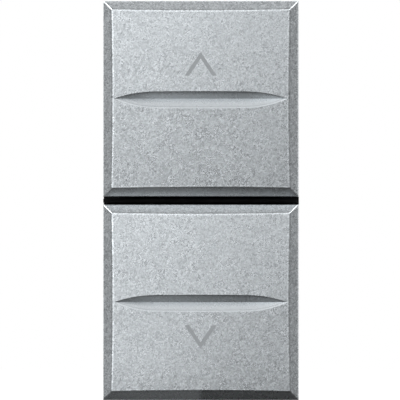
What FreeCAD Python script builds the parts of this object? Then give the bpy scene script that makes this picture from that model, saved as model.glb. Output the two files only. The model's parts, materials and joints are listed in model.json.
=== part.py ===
import FreeCAD, Part
import math
import os
import re
import Sketcher

# A roller shutter switch, one 22.5 mm module wide and 45 mm high, that snaps into a support frame.
# X runs to the right, Y back into the wall and Z up. The origin is the middle of the plane in which
# the flange sits on the support frame, so what shows in the room has a negative Y.
# The lower key's mechanism is the upper one's turned half a turn about Y.
# All sizes are in millimetres and all angles in degrees.

Vector = FreeCAD.Vector
Rotation = FreeCAD.Rotation
ALONG_X = Rotation(Vector(0, 1, 0), 90)
ALONG_Y = Rotation(Vector(1, 0, 0), -90)
ALONG_Z = Rotation()
HALF_TURN = Rotation(Vector(0, 1, 0), 180)

SIZES = {
    # keys
    "key_width": 22.05,
    "key_height": 22.08,
    "key_gap": 0.84,
    "key_front": 8.5,
    "skirt_back": 3.0,
    "skirt_draft": 0.5,
    "skirt_wall": 1.1,
    "face_wall": 1.5,
    "bevel_width": 1.21,
    "bevel_depth": 1.015,
    "crown_radius": 500,
    "edge_round": 0.18,
    # finger slot across each key
    "slot_length": 19.84,
    "slot_flat": 10.4,
    "slot_lead": 0.03,
    "slot_depth": 0.75,
    "slot_rise": 0.84,
    "slot_fall": 1.11,
    # arrow printed in a shallow sink
    "arrow_width": 3.62,
    "arrow_height": 2.68,
    "arrow_stroke": 0.51,
    "arrow_rise": 2.58,
    "arrow_depth": 0.12,
    # key carriers and their hinges
    "press_angle": 5,
    "hinge_depth": 3.9,
    "hinge_height": 4.2,
    "trunnion_radius": 1.1,
    "running_gap": 0.05,
    "ear_wall": 1.1,
    "ear_reach": 2.2,
    "ear_lead": 1.5,
    "ear_mouth": 1.9,
    "ear_gap": 0.5,
    "side_gap": 0.2,
    "carrier_wall": 1.2,
    "carrier_margin": 0.3,
    "pad_radius": 1.0,
    "pad_height": 0.35,
    "pad_inset": 2.2,
    "lug_width": 1.4,
    "push_radius": 0.8,
    "push_width": 3.2,
    "rib_wall": 0.8,
    "rib_height": 1.0,
    "rib_spacing": 8.4,
    # clips that hold a key on its carrier
    "clip_wall": 1.0,
    "clip_width": 4.0,
    "clip_bite": 0.5,
    "clip_height": 1.0,
    # hooks that stop a carrier behind the deck
    "hook_height": 16.0,
    "hook_spacing": 12.6,
    "hook_width": 1.2,
    "hook_wall": 1.2,
    "hook_bite": 0.6,
    "hook_head": 1.0,
    "slot_gap": 0.15,
    # front housing
    "flange_ledge": 1.9,
    "flange_wall": 1.2,
    "flange_round": 0.6,
    "deck_back": 0.8,
    "pocket_wall": 1.4,
    "collar_back": 5.0,
    "collar_wall": 0.9,
    "corner_round": 1.0,
    "divider_wall": 0.42,
    "divider_front": 5.0,
    "support_wall": 2.1,
    "support_width": 8.0,
    "support_bite": 1.2,
    "support_length": 2.7,
    "latch_height": 9.0,
    "latch_width": 4.6,
    "latch_front": 1.7,
    "latch_length": 1.6,
    "latch_bite": 0.7,
    "latch_gap": 0.15,
    # plungers and their return springs
    "plunger_step": 3.7,
    "plunger_head_radius": 2.7,
    "plunger_head": 1.0,
    "plunger_radius": 1.55,
    "plunger_shoulder": 4.2,
    "plunger_tip_radius": 1.1,
    "plunger_nose_radius": 0.2,
    "plunger_nose": 0.5,
    "guide_radius": 2.6,
    "guide_back": 3.4,
    "well_radius": 3.1,
    "return_spring_radius": 2.2,
    "return_spring_wire": 0.36,
    "return_spring_turns": 3.5,
    # contact levers
    "pivot_height": 5.5,
    "pivot_back": 9.0,
    "pin_radius": 0.6,
    "pin_length": 7.8,
    "barrel_radius": 1.2,
    "barrel_width": 5.4,
    "lever_wall": 0.8,
    "lever_width": 4.0,
    "lever_overhang": 1.8,
    "contact_step": 3.2,
    "contact_room": 2.05,
    "rivet_radius": 1.5,
    "rivet_head": 0.6,
    "rivet_dome": 6.0,
    "shank_radius": 0.75,
    "lever_spring_step": 3.8,
    "lever_spring_radius": 1.25,
    "lever_spring_wire": 0.28,
    "lever_spring_turns": 4,
    "spring_post_radius": 0.8,
    "spring_post_height": 1.3,
    "stop_post_radius": 1.2,
    # conductor strips
    "strip_wall": 0.8,
    "bracket_height": 3.0,
    "bracket_front": 7.6,
    "strip_half_height": 1.7,
    "strip_side": 1.8,
    "arm_front": 9.8,
    "tail_length": 6.2,
    "link_side": 6.6,
    "link_depth": 3.0,
    # terminals
    "terminal_inset": 3.65,
    "block_width": 5.4,
    "block_height": 6.4,
    "block_depth": 7.6,
    "bore_radius": 1.7,
    "bore_wall": 1.2,
    "block_chamfer": 0.3,
    "screw_radius": 1.25,
    "screw_head_radius": 2.1,
    "screw_head": 1.5,
    "screw_lift": 0.5,
    "screw_slot": 0.6,
    "access_radius": 2.4,
    # base and rear cover
    "base_wall": 1.2,
    "floor_wall": 1.2,
    "recess_width": 16.4,
    "recess_height": 20.0,
    "panel_depth": 0.3,
    "panel_length": 11.0,
    "panel_height": 24.0,
    "cover_wall": 2.0,
    "lip_wall": 0.9,
    "lip_depth": 1.5,
    "entry_radius": 2.0,
    "entry_flare": 1.0,
    "cover_screw_inset": 5.4,
    "cover_screw_radius": 1.0,
    "cover_screw_head_radius": 1.9,
    "cover_screw_head": 1.2,
    "cover_screw_length": 7.0,
    "mark_size": 2.6,
    "mark_stroke": 0.5,
    "mark_relief": 0.25,
    "mark_height": 8.6,
    # small gaps
    "fit": 0.1,
    "air_gap": 0.03,
}

FORMULAS = {
    "key_middle": "(key_gap + key_height) / 2",
    "key_outer": "key_gap / 2 + key_height",
    "bevel_back": "bevel_depth - key_front",
    "skirt_taper": "-(bevel_back + skirt_back) * tan(skirt_draft * 1 deg)",
    "ceiling": "face_wall - key_front",
    "crown_reach": "sqrt(key_width^2 + key_height^2) / 2 + bevel_width",
    "slot_tip": "crown_radius - sqrt(crown_radius^2 - slot_length^2 / 4) - key_front - slot_lead",
    "hinge_front": "key_front - hinge_depth",
    "ear_front": "hinge_front + ear_lead",
    "plunger_front": "hinge_front",
    "ear_outside": "key_width / 2 - skirt_wall - ear_gap",
    "ear_inside": "ear_outside - ear_wall",
    "carrier_side": "ear_inside - side_gap",
    "carrier_low": "key_gap / 2 + skirt_wall + carrier_margin",
    "carrier_high": "key_outer - skirt_wall - carrier_margin",
    "plate_front": "ceiling + pad_height",
    "plate_back": "plate_front + carrier_wall",
    "clip_inside": "carrier_side + fit",
    "clip_catch": "plate_back + fit",
    "hook_inside": "(hook_spacing - hook_width) / 2",
    "hook_outside": "(hook_spacing + hook_width) / 2",
    "hook_catch": "deck_back + running_gap",
    "hook_end": "hook_catch + hook_head",
    "hook_swing": "(hook_end + hinge_front) * sin(press_angle * 1 deg)",
    "lever_spring_height": "pivot_height + lever_spring_step",
    "plunger_height": "lever_spring_height + plunger_step",
    "contact_height": "plunger_height + contact_step",
    "lever_top": "contact_height + lever_overhang",
    "plunger_travel": "(plunger_height - hinge_height) * sin(press_angle * 1 deg)",
    "lever_angle": "asin(plunger_travel / (plunger_height - pivot_height))",
    "plunger_back": "pivot_back - lever_wall / 2 - air_gap",
    "moving_head": "lever_wall / 2 + rivet_head",
    "rest_face": "pivot_back - moving_head - air_gap",
    "closed_reach": "(moving_head - rivet_dome) * cos(lever_angle)"
    " + (contact_height - pivot_height) * sin(lever_angle) + rivet_dome",
    "made_face": "pivot_back + closed_reach + air_gap",
    "seat_front": "made_face + rivet_head",
    "chamber_back": "seat_front + strip_wall",
    "link_front": "rest_face - rivet_head - strip_wall",
    "bracket_inside": "barrel_width / 2 + fit",
    "bracket_outside": "bracket_inside + strip_wall",
    "bracket_low": "pivot_height - bracket_height / 2",
    "bracket_high": "pivot_height + bracket_height / 2",
    "pocket_front": "chamber_back + floor_wall",
    "block_front": "pocket_front + fit",
    "base_back": "block_front + block_depth + fit",
    "terminal_side": "bracket_outside + block_width / 2",
    "terminal_height": "chamber_end - terminal_inset",
    "block_low": "terminal_height - bore_radius - bore_wall",
    "block_high": "block_low + block_height",
    "screw_depth": "block_front + block_depth / 2",
    "screw_tip": "terminal_height + bore_radius + fit",
    "collar_width": "2 * (terminal_side + block_width / 2 + pocket_wall)",
    "spigot_width": "collar_width - 2 * collar_wall - fit",
    "chamber_side": "spigot_width / 2 - base_wall",
    "chamber_end": "contact_height + contact_room",
    "spigot_height": "2 * (chamber_end + base_wall)",
    "collar_height": "spigot_height + 2 * collar_wall + fit",
    "flange_height": "collar_height + 2 * flange_ledge",
    "cover_back": "base_back + cover_wall",
    "cover_screw_height": "collar_height / 2 - cover_screw_inset",
}

doc = FreeCAD.newDocument("roller_shutter_switch")
sheet = doc.addObject("Spreadsheet::Sheet", "dims")
for row, (alias, size) in enumerate(SIZES.items(), 1):
    sheet.set(f"A{row}", alias)
    sheet.set(f"B{row}", str(size))
    sheet.setAlias(f"B{row}", alias)
doc.recompute()

pieces = []


def formula(text):
    """Plain size names as an expression on the sheet's cells."""

    def swap(match):
        word = match.group()
        if word in FORMULAS:
            return f"({formula(FORMULAS[word])})"
        return f"dims.{word}" if word in SIZES else word

    return re.sub(r"[a-z_]+", swap, str(text))


def value(text):
    """The number that a formula comes to now."""
    number = sheet.evalExpression(formula(text))
    return float(getattr(number, "Value", number))


def bind(thing, prop, text):
    thing.setExpression(prop, formula(text))


def new_body(label, lower=False, middle=None):
    """A body for one piece. A lower piece is turned half a turn, and middle is its own origin's height."""
    body = doc.addObject("PartDesign::Body", label)
    body.Label = label
    if lower:
        body.Placement.Rotation = HALF_TURN
    if middle:
        bind(body, "Placement.Base.z", middle)
    pieces.append(body)
    return body


def origin_part(body, role):
    return next(part for part in body.Origin.OriginFeatures if part.Role == role)


def add(body, kind, name):
    feature = body.newObject(f"PartDesign::{kind}", name)
    feature.Refine = True
    return feature


def either_side(reach):
    """The range from minus reach to reach."""
    return (f"-({reach})", reach)


def centred(size):
    """A range of one size with its middle at nought."""
    return either_side(f"{size} / 2")


def box(body, name, x, y, z, cut=False):
    """A block, added or cut, between the low and high formulas of each axis."""
    block = add(body, "SubtractiveBox" if cut else "AdditiveBox", name)
    for axis, side, (low, high) in zip("xyz", ("Length", "Width", "Height"), (x, y, z)):
        bind(block, f"Placement.Base.{axis}", low)
        bind(block, side, f"({high}) - ({low})")
    return block


def rod(body, name, turn, radius, start, length, cut=False):
    """A round bar or hole from the point start, along X, Y or Z."""
    bar = add(body, "SubtractiveCylinder" if cut else "AdditiveCylinder", name)
    bar.Placement.Rotation = turn
    for axis, place in zip("xyz", start):
        bind(bar, f"Placement.Base.{axis}", place)
    bind(bar, "Radius", radius)
    bind(bar, "Height", length)
    return bar


def new_sketch(body, name, plane, offset="0"):
    sketch = body.newObject("Sketcher::SketchObject", name)
    sketch.AttachmentSupport = [(origin_part(body, plane), "")]
    sketch.MapMode = "FlatFace"
    bind(sketch, "AttachmentOffset.Base.z", offset)
    return sketch


def datum(sketch, kind, where, text):
    """Fix one measure of a sketch to a formula."""
    number = sketch.addConstraint(Sketcher.Constraint(kind, *where, value(text)))
    name = f"size_{number}"
    sketch.renameConstraint(number, name)
    bind(sketch, f"Constraints.{name}", text)


def pin_point(sketch, line, end, across, up):
    datum(sketch, "DistanceX", (-1, 1, line, end), across)
    datum(sketch, "DistanceY", (-1, 1, line, end), up)


def join(sketch, first, first_end, second, second_end):
    sketch.addConstraint(Sketcher.Constraint("Coincident", first, first_end, second, second_end))


def polygon(sketch, corners):
    """A closed outline of straight lines through corners, each a pair of formulas."""
    places = [Vector(value(across), value(up), 0) for across, up in corners]
    first = sketch.GeometryCount
    count = len(corners)
    for index in range(count):
        sketch.addGeometry(Part.LineSegment(places[index], places[(index + 1) % count]))
    for index, (across, up) in enumerate(corners):
        join(sketch, first + index, 2, first + (index + 1) % count, 1)
        pin_point(sketch, first + index, 1, across, up)


def pad(body, name, sketch, length, both_ways=False, back=False):
    feature = add(body, "Pad", name)
    feature.Profile = sketch
    bind(feature, "Length", length)
    feature.Midplane = both_ways
    feature.Reversed = back
    return feature


def turned(body, name, profile, plane="XY_Plane", axis="Y_Axis"):
    """A turned piece from its half profile, pairs of radius and place along the axis."""
    sketch = new_sketch(body, f"{name}Profile", plane)
    polygon(sketch, profile)
    feature = add(body, "Revolution", name)
    feature.Profile = sketch
    feature.ReferenceAxis = (origin_part(body, axis), [""])
    feature.Angle = 360
    return feature


def dress(body, kind, name, test, size):
    """A fillet or chamfer on each edge of the last feature that passes the test."""
    doc.recompute()
    base = body.Tip
    edges = [f"Edge{i}" for i, edge in enumerate(base.Shape.Edges, 1) if test(edge)]
    feature = add(body, kind, name)
    feature.Base = (base, edges)
    bind(feature, "Radius" if kind == "Fillet" else "Size", size)
    return feature


def middle_of(edge):
    return edge.valueAt((edge.FirstParameter + edge.LastParameter) / 2)


def runs_along(edge, axis):
    """True for a straight edge parallel to an axis, given as 0, 1 or 2."""
    if edge.Curve.TypeId != "Part::GeomLine":
        return False
    start, end = edge.Vertexes[0].Point, edge.Vertexes[-1].Point
    return all(abs(start[i] - end[i]) < 1e-6 for i in range(3) if i != axis)


def corner_test(width, height, axis=1):
    """A test for the four edges along Y at the corners of a width by height outline."""
    across, up = value(width) / 2, value(height) / 2

    def test(edge):
        point = middle_of(edge)
        off_corner = max(abs(abs(point.x) - across), abs(abs(point.z) - up))
        return runs_along(edge, axis) and off_corner < 1e-4

    return test


def front_edge_test(inset):
    """A test for edges at the front of a key, within inset of its outline."""
    across = value(f"key_width / 2 - skirt_taper - {inset}")
    up = value(f"key_height / 2 - skirt_taper - {inset}")
    back = value("2 * bevel_depth - key_front")

    def test(edge):
        point = middle_of(edge)
        return edge.BoundBox.YMax < back and (abs(point.x) > across or abs(point.z) > up)

    return test


def crown(body):
    """Turn the front of a body to the key's slightly domed face."""
    sketch = new_sketch(body, "CrownProfile", "YZ_Plane")
    radius, front, reach = value("crown_radius"), value("key_front"), value("crown_reach")
    centre = radius - front
    depth = radius - (radius**2 - reach**2) ** 0.5
    start = Vector(depth - front, reach, 0)
    circle = Part.Circle(Vector(centre, 0, 0), Vector(0, 0, 1), radius)
    angle = circle.parameter(start)
    sketch.addGeometry(Part.ArcOfCircle(circle, angle, circle.parameter(Vector(-front, 0, 0))))
    far = value("-key_front - bevel_depth")
    sketch.addGeometry(Part.LineSegment(Vector(-front, 0, 0), Vector(far, 0, 0)))
    sketch.addGeometry(Part.LineSegment(Vector(far, 0, 0), Vector(far, reach, 0)))
    sketch.addGeometry(Part.LineSegment(Vector(far, reach, 0), start))
    for index in range(4):
        join(sketch, index, 2, (index + 1) % 4, 1)
    datum(sketch, "Radius", (0,), "crown_radius")
    sketch.addConstraint(Sketcher.Constraint("PointOnObject", 0, 3, -1))
    pin_point(sketch, 0, 2, "-key_front", "0")
    datum(sketch, "DistanceY", (-1, 1, 0, 1), "crown_reach")
    pin_point(sketch, 1, 2, "-key_front - bevel_depth", "0")
    pin_point(sketch, 2, 2, "-key_front - bevel_depth", "crown_reach")
    groove = add(body, "Groove", "Crown")
    groove.Profile = sketch
    groove.ReferenceAxis = (origin_part(body, "Y_Axis"), [""])
    groove.Angle = 360


def slot_profile(body, name):
    """The finger slot's bottom line seen from above: a flat run with an arc rising to each tip."""
    sketch = new_sketch(body, name, "XY_Plane")
    flat, tip = value("slot_flat") / 2, value("slot_length") / 2
    floor, rim = value("slot_depth - key_front"), value("slot_tip")
    run, rise = tip - flat, floor - rim
    radius = (run**2 + rise**2) / (2 * rise)
    far = value("-key_front - bevel_depth")
    centres = [Vector(side * flat, floor - radius, 0) for side in (-1, 1)]
    left, right = (Part.Circle(centre, Vector(0, 0, 1), radius) for centre in centres)
    top = [circle.parameter(Vector(circle.Center.x, floor, 0)) for circle in (left, right)]
    sketch.addGeometry(Part.ArcOfCircle(left, top[0], left.parameter(Vector(-tip, rim, 0))))
    sketch.addGeometry(Part.LineSegment(Vector(-tip, rim, 0), Vector(-tip, far, 0)))
    sketch.addGeometry(Part.LineSegment(Vector(-tip, far, 0), Vector(tip, far, 0)))
    sketch.addGeometry(Part.LineSegment(Vector(tip, far, 0), Vector(tip, rim, 0)))
    sketch.addGeometry(Part.ArcOfCircle(right, right.parameter(Vector(tip, rim, 0)), top[1]))
    sketch.addGeometry(Part.LineSegment(Vector(flat, floor, 0), Vector(-flat, floor, 0)))
    for index in range(6):
        join(sketch, index, 2, (index + 1) % 6, 1)
    pin_point(sketch, 0, 1, "-slot_flat / 2", "slot_depth - key_front")
    pin_point(sketch, 0, 2, "-slot_length / 2", "slot_tip")
    datum(sketch, "DistanceX", (-1, 1, 0, 3), "-slot_flat / 2")
    pin_point(sketch, 4, 1, "slot_length / 2", "slot_tip")
    pin_point(sketch, 4, 2, "slot_flat / 2", "slot_depth - key_front")
    datum(sketch, "DistanceX", (-1, 1, 4, 3), "slot_flat / 2")
    pin_point(sketch, 1, 2, "-slot_length / 2", "-key_front - bevel_depth")
    pin_point(sketch, 2, 2, "slot_length / 2", "-key_front - bevel_depth")
    return sketch


def finger_slot(body):
    """Cut the slot's steep upper wall and its flatter lower wall, which meet in a straight valley."""
    for name, lean in (("SlotUpper", "slot_rise"), ("SlotLower", "-slot_fall")):
        wall = add(body, "Pocket", name)
        wall.Profile = slot_profile(body, f"{name}Profile")
        wall.UseCustomVector = True
        wall.AlongSketchNormal = False
        wall.Direction = Vector(0, -value("slot_depth"), value(lean))
        bind(wall, "Direction.y", "-slot_depth")
        bind(wall, "Direction.z", lean)
        bind(wall, "Length", f"1.5 * sqrt(slot_depth^2 + ({lean})^2)")
        body.Tip = wall


def arrow_outline(sketch, side):
    """The arrow, pointing up for side 1 and down for side -1."""
    slope = "arrow_height / (arrow_width / 2)"
    inner = f"arrow_rise + (arrow_width / 2 - arrow_stroke) * {slope}"
    polygon(
        sketch,
        [
            ("-arrow_width / 2", f"{side} * arrow_rise"),
            ("-arrow_width / 2 + arrow_stroke", f"{side} * arrow_rise"),
            ("0", f"{side} * ({inner})"),
            ("arrow_width / 2 - arrow_stroke", f"{side} * arrow_rise"),
            ("arrow_width / 2", f"{side} * arrow_rise"),
            ("0", f"{side} * (arrow_rise + arrow_height)"),
        ],
    )


def key_wedge(body, name, front, back):
    """A stretch of a key's outside. Its front and back are each a depth and an inset."""
    wedge = add(body, "AdditiveWedge", name)
    for axis, size in (("X", "key_width"), ("Z", "key_height")):
        for end, inset in (("", front[1]), ("2", back[1])):
            bind(wedge, f"{axis}{end}min", f"{inset} - {size} / 2")
            bind(wedge, f"{axis}{end}max", f"{size} / 2 - ({inset})")
    bind(wedge, "Ymin", front[0])
    bind(wedge, "Ymax", back[0])


def make_key(label, side):
    """A bevelled shell with a finger slot, a sunk arrow and two clips. Side is 1 for the upper key."""
    body = new_body(label, middle=f"{side} * key_middle")
    bevel_end = ("bevel_back", "skirt_taper")
    key_wedge(body, "Skirt", bevel_end, ("-skirt_back", "0"))
    key_wedge(body, "BevelledFront", ("-key_front", "skirt_taper + bevel_width"), bevel_end)
    crown(body)
    dress(body, "Fillet", "EdgeRound", front_edge_test("bevel_width * 1.2"), "edge_round")
    finger_slot(body)
    sink = new_sketch(body, "ArrowSinkOutline", "XZ_Plane", "key_front + bevel_depth")
    arrow_outline(sink, side)
    pocket = add(body, "Pocket", "ArrowSink")
    pocket.Profile = sink
    bind(pocket, "Length", "bevel_depth + arrow_depth")
    inside = {axis: f"key_{size} / 2 - skirt_wall" for axis, size in (("x", "width"), ("z", "height"))}
    box(
        body,
        "Hollow",
        (f"-({inside['x']})", inside["x"]),
        ("ceiling", "0"),
        (f"-({inside['z']})", inside["z"]),
        cut=True,
    )
    clips = new_sketch(body, "ClipProfiles", "XY_Plane")
    for hand in (1, -1):
        polygon(
            clips,
            [
                (f"{hand} * clip_inside", "ceiling"),
                (f"{hand} * (clip_inside + clip_wall)", "ceiling"),
                (f"{hand} * (clip_inside + clip_wall)", "clip_catch + clip_height"),
                (f"{hand} * clip_inside", "clip_catch + clip_height"),
                (f"{hand} * (carrier_side - clip_bite)", "clip_catch + clip_height / 3"),
                (f"{hand} * (carrier_side - clip_bite)", "clip_catch"),
                (f"{hand} * clip_inside", "clip_catch"),
            ],
        )
    pad(body, "Clips", clips, "clip_width", both_ways=True)


def make_arrow(label, side):
    """The arrow's paint, which fills the sink flush with the domed face."""
    body = new_body(label, middle=f"{side} * key_middle")
    sketch = new_sketch(body, "Outline", "XZ_Plane", "key_front - arrow_depth")
    arrow_outline(sketch, side)
    pad(body, "Paint", sketch, "2 * arrow_depth")
    crown(body)


def make_carrier(label, lower):
    """The rocking frame under a key, with its trunnions, its push rib and the hooks that stop it."""
    body = new_body(label, lower)
    height = ("carrier_low", "carrier_high")
    box(body, "Plate", either_side("carrier_side"), ("plate_front", "plate_back"), height)
    for hand in (1, -1):
        for end, middle in (("Inner", "carrier_low + pad_inset"), ("Outer", "carrier_high - pad_inset")):
            place = (f"{hand} * (carrier_side - pad_inset)", "ceiling", middle)
            rod(body, f"Pad{end}{hand + 1}", ALONG_Y, "pad_radius", place, "pad_height")
        rib = f"{hand} * rib_spacing / 2"
        box(
            body,
            f"Rib{hand + 1}",
            (f"{rib} - rib_wall / 2", f"{rib} + rib_wall / 2"),
            ("plate_back", "plate_back + rib_height"),
            height,
        )
        low, high = sorted((f"{hand} * carrier_side", f"{hand} * (carrier_side - lug_width)"), key=value)
        box(
            body,
            f"Lug{hand + 1}",
            (low, high),
            ("plate_front", "-hinge_front"),
            ("hinge_height - trunnion_radius", "hinge_height + trunnion_radius"),
        )
        low, high = sorted((f"{hand} * hook_inside", f"{hand} * hook_outside"), key=value)
        near, far = "hook_height - hook_wall / 2", "hook_height + hook_wall / 2"
        box(body, f"HookLeg{hand + 1}", (low, high), ("plate_front", "hook_end"), (near, far))
        low, high = sorted((f"{hand} * hook_inside", f"{hand} * (hook_outside + hook_bite)"), key=value)
        box(body, f"HookHead{hand + 1}", (low, high), ("hook_catch", "hook_end"), (near, far))
    for hand, start in ((1, "carrier_side - lug_width"), (-1, "fit - ear_outside")):
        place = (start, "-hinge_front", "hinge_height")
        length = "ear_outside - fit - carrier_side + lug_width"
        rod(body, f"Trunnion{hand + 1}", ALONG_X, "trunnion_radius", place, length)
    push = "-plunger_front - air_gap - push_radius"
    rod(body, "PushRib", ALONG_X, "push_radius", ("-push_width / 2", push, "plunger_height"), "push_width")


def both_halves(body, name, maker):
    """Make a feature above the middle and, half a turn about Y, below it."""
    for turn, half in ((1, "Upper"), (-1, "Lower")):
        maker(body, f"{name}{half}", turn)


def span(turn, low, high):
    """The range from low to high, or its mirror image for a turn of -1."""
    return (low, high) if turn == 1 else (f"-({high})", f"-({low})")


def make_front_housing(label):
    """The moulded front: flange, deck, collar, bearing ears, divider and plunger guides."""
    body = new_body(label)
    box(body, "Flange", centred("key_width"), ("-flange_wall", "0"), centred("flange_height"))
    dress(body, "Fillet", "FlangeCorners", corner_test("key_width", "flange_height"), "flange_round")
    box(body, "Collar", centred("collar_width"), ("0", "collar_back"), centred("collar_height"))
    dress(body, "Fillet", "CollarCorners", corner_test("collar_width", "collar_height"), "corner_round")
    inner = [f"collar_{size} / 2 - collar_wall" for size in ("width", "height")]
    depth = ("deck_back", "collar_back")
    box(body, "CollarHollow", either_side(inner[0]), depth, either_side(inner[1]), cut=True)
    box(body, "Divider", centred("key_width"), ("-divider_front", "-flange_wall"), centred("divider_wall"))
    both_halves(body, "Bearings", add_bearings)
    both_halves(body, "Guide", add_guide)
    both_halves(body, "HookSlots", add_hook_slots)
    both_halves(body, "Support", add_support_hook)
    both_halves(body, "Windows", add_latch_windows)
    stop = ("0", "deck_back", "-contact_height")
    rod(body, "LeverStop", ALONG_Y, "stop_post_radius", stop, "rest_face - deck_back")


def add_bearings(body, name, turn):
    """An ear each side, bored for a trunnion and open at the front so that it snaps in."""
    low, high = "hinge_height - ear_reach", "hinge_height + ear_reach"
    for hand in (1, -1):
        side = span(hand, "ear_inside", "ear_outside")
        box(body, f"{name}Ear{hand + 1}", side, ("-ear_front", "-flange_wall"), span(turn, low, high))
    bore = ("-ear_outside", "-hinge_front", f"{turn} * hinge_height")
    rod(body, f"{name}Bore", ALONG_X, "trunnion_radius + running_gap", bore, "2 * ear_outside", cut=True)
    mouth = span(turn, "hinge_height - ear_mouth / 2", "hinge_height + ear_mouth / 2")
    box(body, f"{name}Mouth", either_side("ear_outside"), ("-ear_front", "-hinge_front"), mouth, cut=True)


def add_guide(body, name, turn):
    """A spring well in the deck's front, and behind it a bored boss for the plunger."""
    height = f"{turn} * plunger_height"
    rod(body, f"{name}Boss", ALONG_Y, "guide_radius", ("0", "deck_back", height), "guide_back - deck_back")
    rod(body, f"{name}Well", ALONG_Y, "well_radius", ("0", "-flange_wall", height), "flange_wall", cut=True)
    bore = ("0", "-flange_wall", height)
    length = "flange_wall + guide_back"
    rod(body, f"{name}Bore", ALONG_Y, "plunger_radius + running_gap", bore, length, cut=True)


def add_hook_slots(body, name, turn):
    """Slots in the deck that leave a carrier's hooks room to swing."""
    low = "hook_height - hook_wall / 2 - hook_swing - slot_gap"
    high = "hook_height + hook_wall / 2 + slot_gap"
    for hand in (1, -1):
        side = span(hand, "hook_inside - slot_gap", "hook_outside + slot_gap")
        box(body, f"{name}{hand + 1}", side, ("-flange_wall", "deck_back"), span(turn, low, high), cut=True)


def add_support_hook(body, name, turn):
    """A snap hook that grips the support frame's edge against the flange."""
    foot = "collar_height / 2"
    sketch = new_sketch(body, f"{name}Profile", "YZ_Plane")
    polygon(
        sketch,
        [
            ("support_wall", f"{turn} * ({foot} - collar_wall / 2)"),
            ("support_wall", f"{turn} * ({foot} + support_bite)"),
            ("support_wall + support_length / 5", f"{turn} * ({foot} + support_bite)"),
            ("support_wall + support_length", f"{turn} * {foot}"),
            ("support_wall + support_length", f"{turn} * ({foot} - collar_wall / 2)"),
        ],
    )
    pad(body, f"{name}Hook", sketch, "support_width", both_ways=True)


def add_latch_windows(body, name, turn):
    """Windows in the collar's sides for the base's latches."""
    reach = "latch_width / 2 + latch_gap"
    height = span(turn, f"latch_height - ({reach})", f"latch_height + {reach}")
    depth = ("latch_front - latch_gap", "latch_front + latch_length + latch_gap")
    box(body, name, centred("collar_width"), depth, height, cut=True)


def make_base_housing(label):
    """The moulded base: spigot and latches, contact chamber, and pockets for the terminals behind."""
    body = new_body(label)
    box(body, "Block", centred("collar_width"), ("collar_back", "base_back"), centred("collar_height"))
    dress(body, "Fillet", "BlockCorners", corner_test("collar_width", "collar_height"), "corner_round")
    box(body, "Spigot", centred("spigot_width"), ("deck_back", "collar_back"), centred("spigot_height"))
    depth = ("deck_back", "chamber_back")
    box(body, "Chamber", either_side("chamber_side"), depth, either_side("chamber_end"), cut=True)
    depth = ("pocket_front", "base_back")
    box(body, "Recess", centred("recess_width"), depth, centred("recess_height"), cut=True)
    for hand in (1, -1):
        side = span(hand, "collar_width / 2 - panel_depth", "collar_width / 2")
        depth = ("base_back - 2 * panel_depth - panel_length", "base_back - 2 * panel_depth")
        box(body, f"Panel{hand + 1}", side, depth, centred("panel_height"), cut=True)
        rib = span(hand, "link_side + strip_wall", "chamber_side")
        height = span(hand, "bracket_low", "bracket_high")
        box(body, f"StripRib{hand + 1}", rib, ("link_front", "chamber_back"), height)
    both_halves(body, "Latches", add_latches)
    both_halves(body, "SpringPost", add_spring_post)
    add_terminal_pocket(body, "Line", -1, 1, "terminal_height - strip_half_height")
    add_terminal_pocket(body, "Up", 1, 1, "contact_height - strip_half_height")
    add_terminal_pocket(body, "Down", -1, -1, "contact_height - strip_half_height")
    both_halves(body, "CoverPilot", add_cover_pilot)


def add_latches(body, name, turn):
    """A ramped latch each side that snaps into the collar's window."""
    sketch = new_sketch(body, f"{name}Profiles", "XY_Plane", f"{turn} * latch_height")
    for hand in (1, -1):
        polygon(
            sketch,
            [
                (f"{hand} * (spigot_width / 2 - latch_bite)", "latch_front"),
                (f"{hand} * (spigot_width / 2 + latch_bite / 3)", "latch_front"),
                (f"{hand} * (spigot_width / 2 + latch_bite)", "latch_front + latch_length / 2"),
                (f"{hand} * (spigot_width / 2 + latch_bite)", "latch_front + latch_length"),
                (f"{hand} * (spigot_width / 2 - latch_bite)", "latch_front + latch_length"),
            ],
        )
    pad(body, name, sketch, "latch_width", both_ways=True)


def add_spring_post(body, name, turn):
    place = ("0", "chamber_back - spring_post_height", f"{turn} * lever_spring_height")
    rod(body, name, ALONG_Y, "spring_post_radius", place, "spring_post_height")


def add_cover_pilot(body, name, turn):
    place = ("0", "base_back - cover_screw_length", f"{turn} * cover_screw_height")
    rod(body, name, ALONG_Y, "cover_screw_radius", place, "cover_screw_length", cut=True)


def add_terminal_pocket(body, name, hand, turn, tail_low):
    """A pocket for a terminal block, with a slit for its strip and a hole for a screwdriver."""
    inside, outside = "bracket_inside - fit", "bracket_outside + block_width + fit"
    height = span(turn, "block_low - fit", "block_high + fit")
    box(body, f"{name}Pocket", span(hand, inside, outside), ("pocket_front", "base_back"), height, cut=True)
    slit = span(turn, f"{tail_low} - fit", f"{tail_low} + 2 * strip_half_height + fit")
    side = span(hand, inside, "bracket_outside + fit")
    box(body, f"{name}Slit", side, ("chamber_back", "pocket_front"), slit, cut=True)
    start = "block_high" if turn == 1 else "-collar_height / 2"
    place = (f"{hand} * terminal_side", "screw_depth", start)
    rod(body, f"{name}Access", ALONG_Z, "access_radius", place, "collar_height / 2 - block_high", cut=True)


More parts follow.
